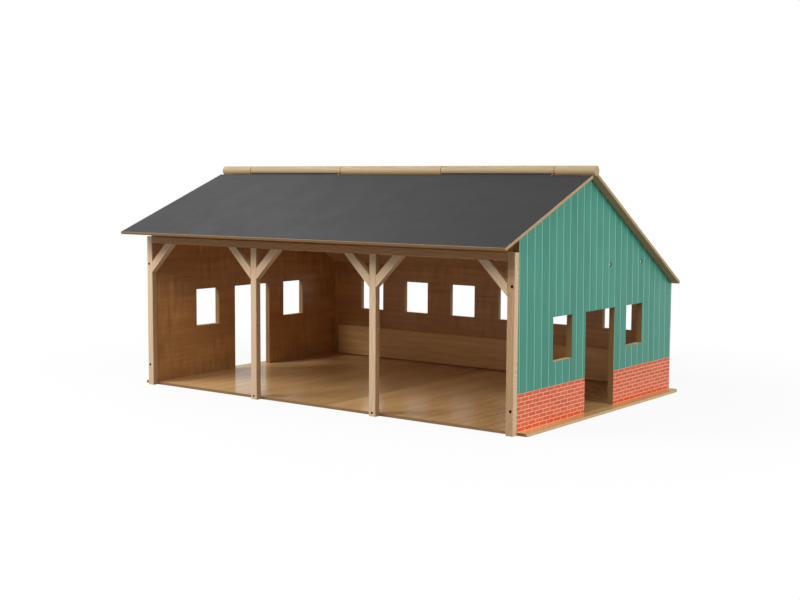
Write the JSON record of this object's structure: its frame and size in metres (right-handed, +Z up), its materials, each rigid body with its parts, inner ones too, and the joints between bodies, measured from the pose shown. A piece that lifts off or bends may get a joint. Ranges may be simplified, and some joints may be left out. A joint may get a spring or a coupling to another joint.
{
  "type": "toy barn",
  "caption": "Open-fronted wooden toy farm shed with three bays, windowed walls, gable doorways and a roof whose front panel swings up on a wooden ridge hinge.",
  "frame": {"origin": "centre of the floor plate's underside, on the ground that the shed stands on", "axes": "+X along the ridge to the right seen from the open front, -Y out of the open front, +Z up"},
  "size_m": [0.783, 0.562, 0.3825],
  "materials": {
    "floor_plywood": "glossy clear-lacquered plywood, golden brown",
    "gable_board": "board printed with green upright boards over a red brick foot, brown veneer inside",
    "rear_board": "brown lacquered veneer",
    "foot_board": "brown lacquered veneer, a little lighter than the wall",
    "frame_wood": "planed pale beech, satin",
    "roof_board": "slate grey satin coating on thin board, bare tan edges",
    "ridge_wood": "turned pale wood, satin",
    "dowel_wood": "plain beech dowel",
    "zinc_steel": "zinc-plated steel"
  },
  "bodies": {
    "shed": {"floor_plate": "floor_plywood", "left_gable_wall": "gable_board", "right_gable_wall": "gable_board", "rear_wall": "rear_board", "rear_foot_board": "foot_board", "left_corner_post": "frame_wood", "left_middle_post": "frame_wood", "right_middle_post": "frame_wood", "right_corner_post": "frame_wood", "front_lintel": "frame_wood", "left_corner_brace": "frame_wood", "left_post_left_brace": "frame_wood", "left_post_right_brace": "frame_wood", "right_post_left_brace": "frame_wood", "right_post_right_brace": "frame_wood", "right_corner_brace": "frame_wood", "front_tie_beam": "frame_wood", "rear_tie_beam": "frame_wood", "rear_roof_panel": "roof_board", "ridge_knuckle_1": "ridge_wood", "ridge_knuckle_3": "ridge_wood", "ridge_knuckle_5": "ridge_wood", "hinge_pins": "zinc_steel", "corner_post_screws": "zinc_steel", "post_foot_nails": "zinc_steel", "tie_beam_screws": "zinc_steel", "floor_screws": "zinc_steel", "rear_roof_screws": "zinc_steel", "rear_wall_dowels": "dowel_wood", "frame_dowels": "dowel_wood"},
    "front_roof": {"front_roof_panel": "roof_board", "ridge_knuckle_2": "ridge_wood", "ridge_knuckle_4": "ridge_wood"}
  },
  "joints": [
    {"name": "front_roof_hinge", "type": "hinge", "parent": "shed", "child": "front_roof", "pos_m": [0, -0.052, 0.3745], "axis": [-1, 0, 0], "range_deg": [0, 233]}
  ]
}
